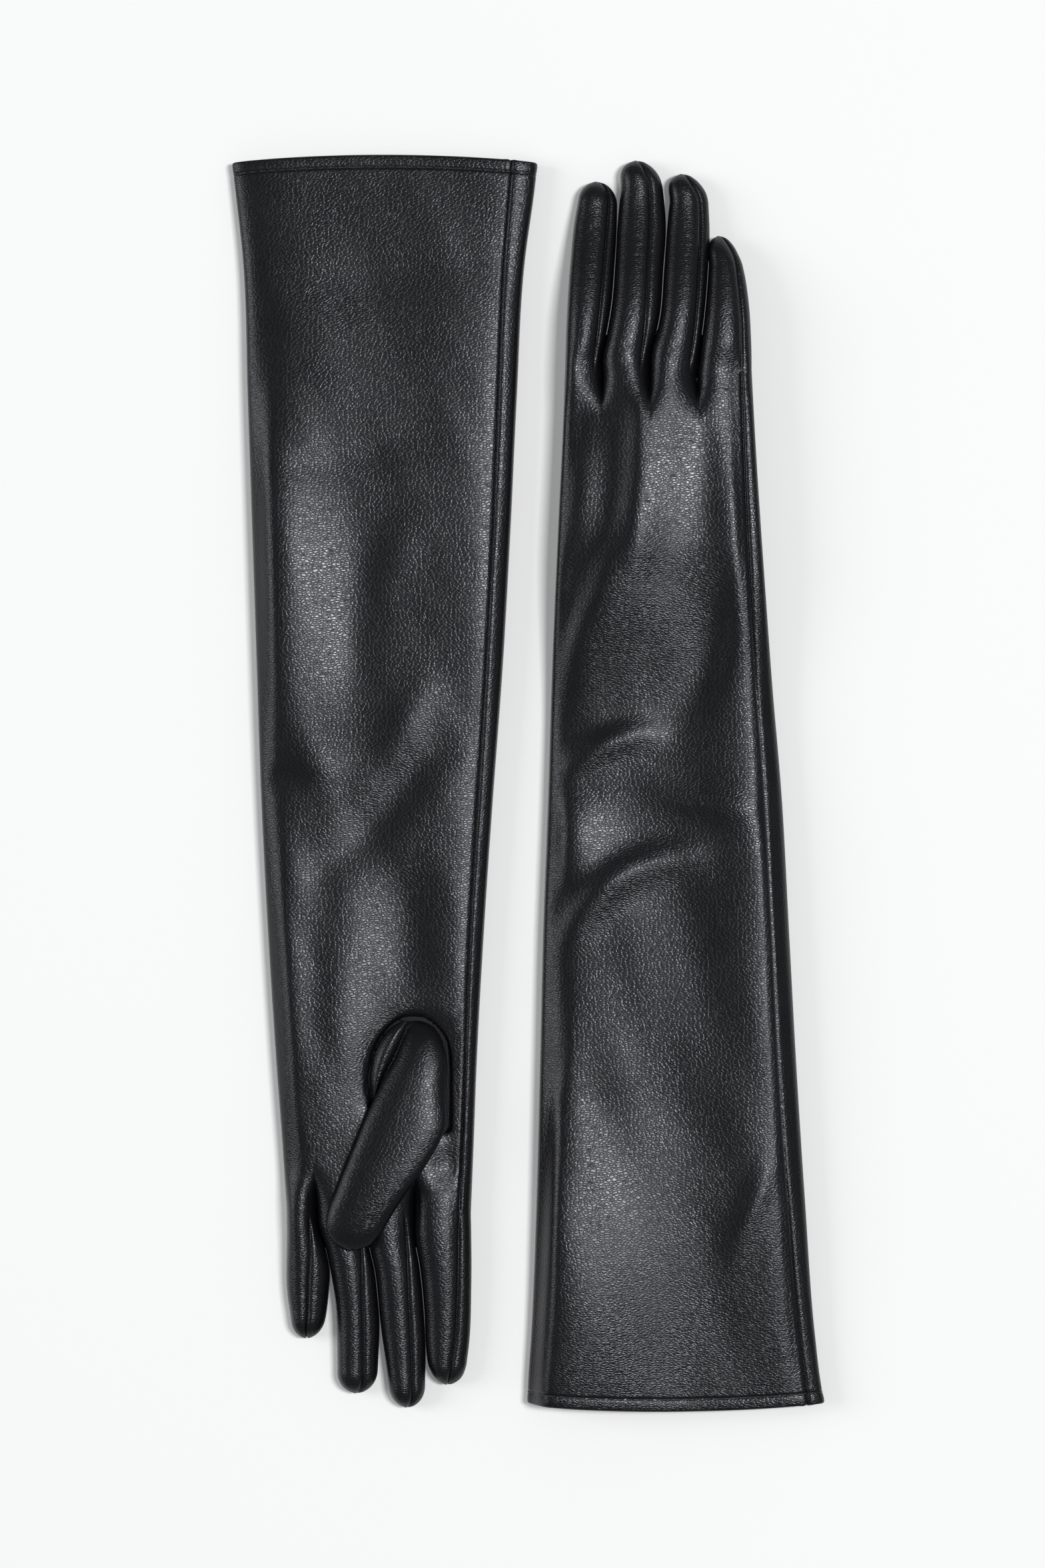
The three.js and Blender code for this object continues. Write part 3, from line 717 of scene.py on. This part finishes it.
def thread_material():
    """Black sewing thread, with the twist of its plies and a painted highlight on each ply."""
    material, nodes, links, shader = new_material("glove_thread")
    place = add_node(nodes, "ShaderNodeTexCoord")
    plies = add_node(nodes, "ShaderNodeTexWave", wave_type="BANDS", bands_direction="DIAGONAL")
    plies.inputs["Scale"].default_value = 900
    links.new(place.outputs["Object"], plies.inputs["Vector"])
    # Painted highlight: the plies' raised bands are a lighter grey and their grooves near black, so the
    # stitches show as light dashes.
    apply_bands(nodes, links, shader, plies.outputs["Fac"], 0.0001, (0.05, 0.05, 0.056, 1))
    shader.inputs["Roughness"].default_value = 0.3
    return material


LEATHER_BLACK = leather_material()
KNIT = knit_material()
THREAD = thread_material()


# ---- Joining pieces to the frame ----
def settle(piece, slot, nodes, body, far_body=None, start=None, end=None):
    """The piece rides on a body; given a second body it only has its transform baked in and rides on none.
    Either way it hides the nodes that it stands for.
    """
    if far_body:
        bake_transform(piece)
    else:
        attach(piece, body)
    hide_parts(*nodes)


def panel(grid, normals, columns):
    return grid[:, columns], normals[:, columns]


# ---- Building a glove ----
def hem_rows():
    """(along, inset) pairs from the lining's edge, out round the folded hem and on towards the hand."""
    inside = [(HEM_DEPTH - i, 2 * HEM_TURN) for i in np.linspace(0, HEM_DEPTH - HEM_TURN, 8)]
    turn = [
        (HEM_TURN - HEM_TURN * math.sin(a), HEM_TURN + HEM_TURN * math.cos(a))
        for a in np.radians(np.linspace(0, 180, 11)[1:])
    ]
    return inside + turn


def body_rows(webs):
    """The (along, inset) rows of the hem's fold, beside the hem, of the arm and of the hand."""
    near = [(a, 0) for a in np.arange(HEM_TURN + 0.5, HEM_DEPTH + 2, 0.45)]
    arm = [(a, 0) for a in np.linspace(HEM_DEPTH + 3, HAND_FROM, 150)]
    hand = [(a, 0) for a in np.linspace(HAND_FROM, webs, 56)[1:]]
    return hem_rows(), near, arm, hand


def stitch_relief(grid, normals, rows):
    """A shallow furrow along the hem's stitching."""
    alongs = np.array([a for a, _ in rows])
    outside = np.array([inset == 0 for _, inset in rows])
    furrow = 0.42 * np.exp(-(((alongs - STITCH_ROW) / 0.55) ** 2))
    press = -furrow + 0.1 * np.exp(-(((alongs - 2.6) / 1.4) ** 2))
    return grid + normals * (press * outside)[:, None, None]


def build_body(glove):
    """The closed surface from hem to webs, and the index of the row where the hand's panels begin."""
    hem, near, arm, hand = body_rows(glove.webs)
    rows = hem + near + arm + hand
    grid = glove.body_grid(rows)
    normals = grid_normals(grid, glove.way)
    grid = seam_relief(grid, normals, [STRIP_STEPS, TOP_STEPS + STRIP_STEPS])
    grid = stitch_relief(grid, normals, rows)
    if glove.side == "left":
        grid = thumb_hollow(grid)
    normals = grid_normals(grid, glove.way)
    return rows, grid, normals, len(hem) + len(near) + len(arm) - 1


def build_glove(side):
    glove = Glove(side, GLOVES[side])
    rows, grid, normals, cut = build_body(glove)
    fingers = [glove.finger_grid(k) for k in range(4)]
    finger_normals = match_fingers(glove, grid, normals, fingers)
    top = glove.data["top"]
    under = "back" if top == "palm" else "palm"
    count = 2 * TOP_STEPS
    top_columns = np.arange(STRIP_STEPS, TOP_STEPS + STRIP_STEPS + 1)
    under_columns = np.arange(TOP_STEPS + STRIP_STEPS, count + STRIP_STEPS + 1) % count
    arm, hand = f"{side}_arm", f"{side}_hand"
    wrist_from = point_at(glove, glove.left, glove.right, WRIST - WRIST_BEND)
    wrist_to = point_at(glove, glove.left, glove.right, WRIST + WRIST_BEND)
    for kind, columns in ((top, top_columns), (under, under_columns)):
        part, part_normals = panel(grid, normals, columns)
        piece = make_sheet(f"{side}_arm_{kind}", part[: cut + 1], part_normals[: cut + 1], LEATHER_BLACK)
        extra = [f"{side}_hem_band"] if kind == top else []
        settle(piece, "leather", [f"{side}_arm_{kind}_panel", *extra], arm, hand, wrist_from, wrist_to)
        name = f"{side}_hand_{kind}"
        piece = make_sheet(name, part[cut:], part_normals[cut:], LEATHER_BLACK, start=HAND_FROM)
        settle(piece, "leather", [f"{side}_hand_{kind}_panel"], hand)
    for k in range(4):
        build_finger(glove, k, fingers[k], finger_normals[k], top, under)
    for k in range(3):
        build_gusset(glove, k)
    build_lining(glove)
    build_stitches(glove, grid, normals, rows)


def point_at(glove, left, right, along):
    """A point midway between two edges, in metres, where a bend starts or ends."""
    x = float(left(along) + right(along)) / 2
    return (x * MM, float(glove.y(along)) * MM, BEND_HEIGHT)


def match_fingers(glove, grid, normals, fingers):
    """Normals for the fingers that run on from the hand's, so that no line shows at the webs."""
    result = []
    count = 2 * TOP_STEPS
    for k, finger in enumerate(fingers):
        top = np.arange(k * FINGER_STEPS, (k + 1) * FINGER_STEPS)
        bottom = np.arange(TOP_STEPS + (3 - k) * FINGER_STEPS, TOP_STEPS + (4 - k) * FINGER_STEPS)
        columns = np.concatenate([top, bottom]) % count
        relief_columns = [STRIP_STEPS, FINGER_STEPS + STRIP_STEPS, 0, FINGER_STEPS]
        plain = grid_normals(finger, glove.way)
        ramp = smooth(np.arange(len(finger)) / 6)[:, None, None]
        pressed = seam_relief(finger, plain, relief_columns, depth=0.8, width=0.38, ridge=0.12)
        finger[:] = finger + (pressed - finger) * ramp
        finger[0] = grid[-1][columns]
        stacked = np.concatenate([grid[-3:-1][:, columns], finger])
        own = grid_normals(stacked, glove.way)[2:]
        normals[-1][columns] = own[0]
        result.append(own)
    return result


def build_finger(glove, k, grid, normals, top, under):
    """The strips of one finger: the top and underside panels and the fourchettes between them."""
    side, finger = glove.side, glove.fingers[k]
    name = f"{side}_{finger['name']}"
    count = 2 * FINGER_STEPS
    seam, far, low_seam = STRIP_STEPS, FINGER_STEPS, FINGER_STEPS + STRIP_STEPS
    right_side = "thumb_side" if top == "palm" else "little_side"
    left_side = "little_side" if top == "palm" else "thumb_side"
    strips = {
        top: np.arange(seam, (low_seam if k == 3 else far) + 1),
        under: np.arange(low_seam, count + (seam if k == 0 else 0) + 1) % count,
    }
    if k > 0:
        strips[f"{right_side}_fourchette"] = np.arange(0, seam + 1)
    if k < 3:
        strips[f"{left_side}_fourchette"] = np.arange(far, low_seam + 1)
    start = point_at(glove, finger["left"], finger["right"], finger["knuckle"] - KNUCKLE_BEND)
    end = point_at(glove, finger["left"], finger["right"], finger["knuckle"] + KNUCKLE_BEND)
    for kind, columns in strips.items():
        part, part_normals = panel(grid, normals, columns)
        piece = make_sheet(f"{name}_{kind}", part, part_normals, LEATHER_BLACK, start=glove.webs)
        nodes = [f"{name}_{kind}" if "fourchette" in kind else f"{name}_{kind}_panel"]
        settle(piece, "leather", nodes, f"{side}_hand", name, start, end)


def build_gusset(glove, k):
    """The bottom of the gap between two fingers: a narrow strip set between their fourchettes."""
    right_finger, left_finger = glove.fingers[k], glove.fingers[k + 1]
    grid = []
    for along in np.linspace(glove.webs - 6, glove.webs + 18, 25):
        border = glove.boundaries(min(along, glove.webs))[k + 1]
        far = float(right_finger["left"](along)) if along > glove.webs else border
        near = float(left_finger["right"](along)) if along > glove.webs else border
        across = np.linspace(-1, 1, 13)
        x = (far + near) / 2 + ((far - near) / 2 + 1.7) * across
        z = 2.4 + 2.6 * np.abs(across) ** 2 + glove.raised(along)
        grid.append(np.stack([x, np.full(13, glove.y(along)), z], axis=1))
    grid = np.array(grid)
    normals = grid_normals(grid, 1, ring=False)
    normals *= -1 if normals[12, 6, 2] < 0 else 1
    order = ["index", "middle", "ring", "little"]
    first, second = sorted((right_finger["name"], left_finger["name"]), key=order.index)
    name = f"{glove.side}_{first}_{second}_gusset"
    piece = make_sheet(f"{name}_strip", grid, normals, LEATHER_BLACK, thickness=GUSSET, start=glove.webs)
    settle(piece, "leather", [name], f"{glove.side}_hand")


def build_lining(glove):
    side = glove.side
    for name, places, body in (
        ("arm_lining", np.linspace(HEM_DEPTH - 1.5, WRIST - 14, 60), f"{side}_arm"),
        ("hand_lining", np.linspace(WRIST + 14, glove.webs - SWELL - 6, 30), f"{side}_hand"),
    ):
        grid = glove.body_grid([(a, LINING_INSET) for a in places])
        grid = np.concatenate([grid, grid[:, :1]], axis=1)[:, ::2]
        normals = grid_normals(grid, glove.way, ring=False)
        piece = make_sheet(f"{side}_{name}", grid, normals, KNIT, thickness=LINING)
        settle(piece, "lining", [f"{side}_{name}"], body)


# ---- Hem stitches ----
def build_stitches(glove, grid, normals, rows):
    """Separate lockstitches, each a short thread that arches out of one hole and into the next."""
    outside = [i for i, (a, inset) in enumerate(rows) if inset == 0]
    row = min(outside, key=lambda i: abs(rows[i][0] - STITCH_ROW))
    loop = np.concatenate([grid[row], grid[row][:1]])
    out = np.concatenate([normals[row], normals[row][:1]])
    running = np.concatenate([[0], np.cumsum(np.linalg.norm(np.diff(loop, axis=0), axis=1))])
    count = int(running[-1] / STITCH_PITCH)
    pitch = running[-1] / count
    steps, sides = 7, 6
    verts, faces = [], []
    for stitch in range(count):
        middle = (stitch + 0.5) * pitch
        places = np.linspace(middle - STITCH_LENGTH / 2, middle + STITCH_LENGTH / 2, steps)
        path = np.stack([np.interp(places, running, loop[:, i]) for i in range(3)], axis=1)
        lift = np.stack([np.interp(places, running, out[:, i]) for i in range(3)], axis=1)
        lift /= np.linalg.norm(lift, axis=1, keepdims=True)
        arch = 0.18 - 0.5 * (np.linspace(-1, 1, steps) ** 4)
        path = path + lift * arch[:, None]
        ahead = np.gradient(path, axis=0)
        ahead /= np.linalg.norm(ahead, axis=1, keepdims=True)
        side = np.cross(ahead, lift)
        base = len(verts)
        for p, up, across in zip(path, lift, side):
            for turn in np.radians(np.arange(0, 360, 360 / sides)):
                verts.append(p + THREAD_RADIUS * (math.cos(turn) * across + math.sin(turn) * up))
        for i in range(steps - 1):
            for j in range(sides):
                a, b = base + sides * i + j, base + sides * i + (j + 1) % sides
                faces.append((a, b, b + sides, a + sides))
        faces.append(tuple(base + j for j in reversed(range(sides))))
        faces.append(tuple(base + sides * (steps - 1) + j for j in range(sides)))
    mesh = bpy.data.meshes.new("stitches")
    mesh.from_pydata((np.array(verts) * MM).tolist(), [], faces)
    mesh.polygons.foreach_set("use_smooth", np.ones(len(faces), bool))
    mesh.materials.append(THREAD)
    piece = bpy.data.objects.new(f"{glove.side}_hem_stitching_thread", mesh)
    bpy.context.scene.collection.objects.link(piece)
    settle(piece, "thread", [f"{glove.side}_hem_stitching"], f"{glove.side}_arm")


# ---- Thumbs ----
# The seam round the thumb and the slit beside its lobe, as (x, y) points on the left glove's palm.
THUMB_HOLE = [(-68, -141), (-69.3, -130), (-67, -118), (-61.5, -109), (-54.5, -104), (-47, -104),
              (-40.5, -108.5), (-36.4, -116.5), (-35.8, -137), (-36.2, -152)]
THUMB_SLIT = [(-53.4, -106), (-55.6, -111.8), (-59.3, -120.5), (-63.4, -128.4), (-67.2, -137)]


def thumb_hollow(grid):
    """The palm dips at the seam round the thumb and lies lower under it."""
    x, y, z = grid[..., 0], grid[..., 1], grid[..., 2]
    on_top = np.zeros(x.shape, bool)
    on_top[:, STRIP_STEPS:TOP_STEPS] = True
    away = np.abs(distance_to_line(x, y, rounded_line(THUMB_HOLE))[0])
    groove = 3.2 * np.exp(-((away / 1.3) ** 2)) + 1.2 * np.exp(-((away / 6) ** 2))
    dent = 2.0 * np.exp(-((np.hypot(x + 36, (y + 168) * 0.7) / 7) ** 2))
    grid[..., 2] = z - np.where(on_top, groove + dent, 0)
    return grid


def thumb_grid(outline_left, outline_right, places, foot, top):
    """A flattened tube between two outlines and two heights along y, closed at both ends."""
    grid = []
    first, last = places[0], places[-1]
    for y in places:
        left, right = float(outline_left(y)), float(outline_right(y))
        t = (y - first) / (last - first)
        close = math.sqrt(max(0.004, 1 - max(0, 1 - t / 0.1) ** 2.2 - max(0, (t - 0.9) / 0.1) ** 2.2))
        turn = np.linspace(0, 2 * np.pi, THUMB_COLUMNS + 1)[:-1]
        across = np.sign(np.cos(turn)) * np.abs(np.cos(turn)) ** (2 / 2.2)
        rise = np.sign(np.sin(turn)) * np.abs(np.sin(turn)) ** (2 / 2.2)
        half = (right - left) / 2
        x = (left + right) / 2 + half * across
        low, high = foot(y), top(y)
        z = (low + high) / 2 + (high - low) / 2 * close * rise
        grid.append(np.stack([x, np.full(THUMB_COLUMNS, y), z], axis=1))
    return np.array(grid)


def thumb_panels(side, grid, normals, kinds, *bend):
    """The panels of the thumb's upper and lower half, cut from its tube along its two edges."""
    half = THUMB_COLUMNS // 2
    halves = np.arange(half + 1), np.arange(half, THUMB_COLUMNS + 1) % THUMB_COLUMNS
    for kind, columns in zip(kinds, halves):
        part, part_normals = panel(grid, normals, columns)
        piece = make_sheet(f"{side}_thumb_{kind}", part, part_normals, LEATHER_BLACK, start=THUMB_GRAIN)
        settle(piece, "leather", [f"{side}_thumb_{kind}_panel"], *bend)


def build_leaf():
    """The narrow lobe of the thumb's inner panel that shows beside the slit, above the palm."""
    rows = np.linspace(0, 1, 40)
    across = np.linspace(0, 1, 17)

    def along(points):
        line = np.array(rounded_line(points, 8))
        places = np.linspace(0, 1, len(line))
        return np.stack([np.interp(rows, places, line[:, i]) for i in range(2)], axis=1)

    grid = []
    for row, a, b in zip(rows, along(THUMB_HOLE[4::-1]), along(THUMB_SLIT)):
        x = a[0] + (b[0] - a[0]) * across
        y = a[1] + (b[1] - a[1]) * across
        wide = math.sin(math.pi * min(1, 0.04 + 0.92 * row))
        z = 12.6 + 3.6 * wide**0.7 * np.sin(np.pi * (0.08 + 0.84 * across)) ** 0.8
        grid.append(np.stack([x, y, z], axis=1))
    grid = np.array(grid)
    normals = grid_normals(grid, 1, ring=False)
    normals *= -1 if normals[20, 8, 2] < 0 else 1
    piece = make_sheet("left_thumb_leaf", grid, normals, LEATHER_BLACK, start=THUMB_GRAIN)
    settle(piece, "leather", ["left_thumb_inner_panel"], "left_hand")


def build_left_thumb():
    """The thumb folded over the palm that lies up, between two edges given as (y, x) points."""
    left = curve([(-205.6, -79), (-203, -84), (-197, -88.4), (-190, -88.4), (-179, -84.4), (-160, -76.8),
                  (-141, -69), (-129, -63), (-121, -58.6), (-112, -55), (-106, -52.6), (-104.2, -51.5)])
    right = curve([(-205.6, -77), (-204, -71.5), (-200, -66.6), (-191, -60.6), (-181, -54.4), (-171, -47),
                   (-158.5, -39.4), (-153, -36.8), (-137, -36.4), (-117, -36.8), (-110, -39.6), (-106, -43.6),
                   (-104.2, -48)])
    places = np.concatenate([
        -104.4 - 6 * (1 - np.cos(np.linspace(0, np.pi / 2, 12))),
        np.linspace(-111, -197, 56),
        -197 - 8.6 * np.sin(np.linspace(0.08, np.pi / 2, 12)),
    ])
    foot = curve([(-205.6, 13.5), (-190, 14), (-150, 13.5), (-125, 9), (-104, 6)])
    top = curve([(-205.6, 21.5), (-190, 24), (-160, 24.4), (-135, 22.4), (-115, 18.6), (-104, 13.4)])
    grid = thumb_grid(left, right, places, foot, top)
    normals = grid_normals(grid, -1)
    hinge_from = (-0.0370, -0.130, 0.0150)
    hinge_to = (-0.0520, -0.134, 0.0150)
    build_leaf()
    thumb_panels("left", grid, normals, ("outer", "inner"), "left_hand", "left_thumb", hinge_from, hinge_to)


def build_right_thumb():
    """The thumb folded under the hand that lies palm down."""
    middle = curve([(106, 43.5), (124, 43), (150, 46), (171, 55), (190, 63.5), (205, 68)])
    half = curve([(106, 11), (118, 14), (150, 14.5), (180, 13.5), (198, 11), (205, 8)])
    places = np.linspace(104, 205, 70)
    foot = curve([(104, 0.3), (205, 0.3)])
    top = curve([(104, 8.6), (150, 9), (205, 8)])

    def left(y):
        return middle(y) - half(y)

    def right(y):
        return middle(y) + half(y)

    grid = thumb_grid(left, right, places, foot, top)
    normals = grid_normals(grid, 1)
    normals *= -1 if normals[30, 16, 2] < 0 else 1
    thumb_panels("right", grid, normals, ("inner", "outer"), "right_thumb")


for side in GLOVES:
    build_glove(side)
build_left_thumb()
build_right_thumb()


# ---- Floor, lights and camera ----
def build_floor():
    mesh = bpy.data.meshes.new("floor")
    reach = 3
    corners = [(-reach, -reach, 0), (reach, -reach, 0), (reach, reach, 0), (-reach, reach, 0)]
    mesh.from_pydata(corners, [], [(0, 1, 2, 3)])
    material, _, _, shader = new_material("floor_white")
    shader.inputs["Base Color"].default_value = (0.92, 0.92, 0.915, 1)
    shader.inputs["Emission Color"].default_value = (1, 1, 1, 1)
    shader.inputs["Emission Strength"].default_value = 0.12
    shader.inputs["Roughness"].default_value = 0.9
    shader.inputs["Specular IOR Level"].default_value = 0.1
    mesh.materials.append(material)
    floor = bpy.data.objects.new("floor", mesh)
    bpy.context.scene.collection.objects.link(floor)


def area_light(name, x, y, z, width, depth, power):
    """A rectangular light that points at the origin."""
    light = bpy.data.lights.new(name, "AREA")
    light.shape = "RECTANGLE"
    light.size = width
    light.size_y = depth
    light.energy = power
    lamp = bpy.data.objects.new(name, light)
    lamp.location = (x, y, z)
    lamp.rotation_euler = (-lamp.location).to_track_quat("-Z", "Y").to_euler()
    bpy.context.scene.collection.objects.link(lamp)


def build_lights():
    area_light("key_right", 1.65, 0.3, 4.7, 0.6, 1.3, 150)
    area_light("fill_left", -4.6, 0.5, 2.6, 2.4, 3.2, 95)
    world = bpy.data.worlds.new("studio")
    world.use_nodes = True
    background = world.node_tree.nodes["Background"]
    background.inputs["Color"].default_value = (0.93, 0.96, 1, 1)
    background.inputs["Strength"].default_value = 0.2
    bpy.context.scene.world = world


def build_camera():
    """Straight above the gloves, with view_height metres of the floor in the frame."""
    view_height = 0.6951
    distance = 2.6
    camera_data = bpy.data.cameras.new("camera")
    camera_data.sensor_fit = "VERTICAL"
    camera_data.sensor_height = 24
    camera_data.lens = camera_data.sensor_height * distance / view_height
    camera = bpy.data.objects.new("camera", camera_data)
    camera.location = (-0.0025, 0, distance)
    bpy.context.scene.collection.objects.link(camera)
    bpy.context.scene.camera = camera


build_floor()
build_lights()
build_camera()
bpy.context.scene.view_settings.view_transform = "Standard"


def plain(box):
    return [[float(c) for c in corner] for corner in box]
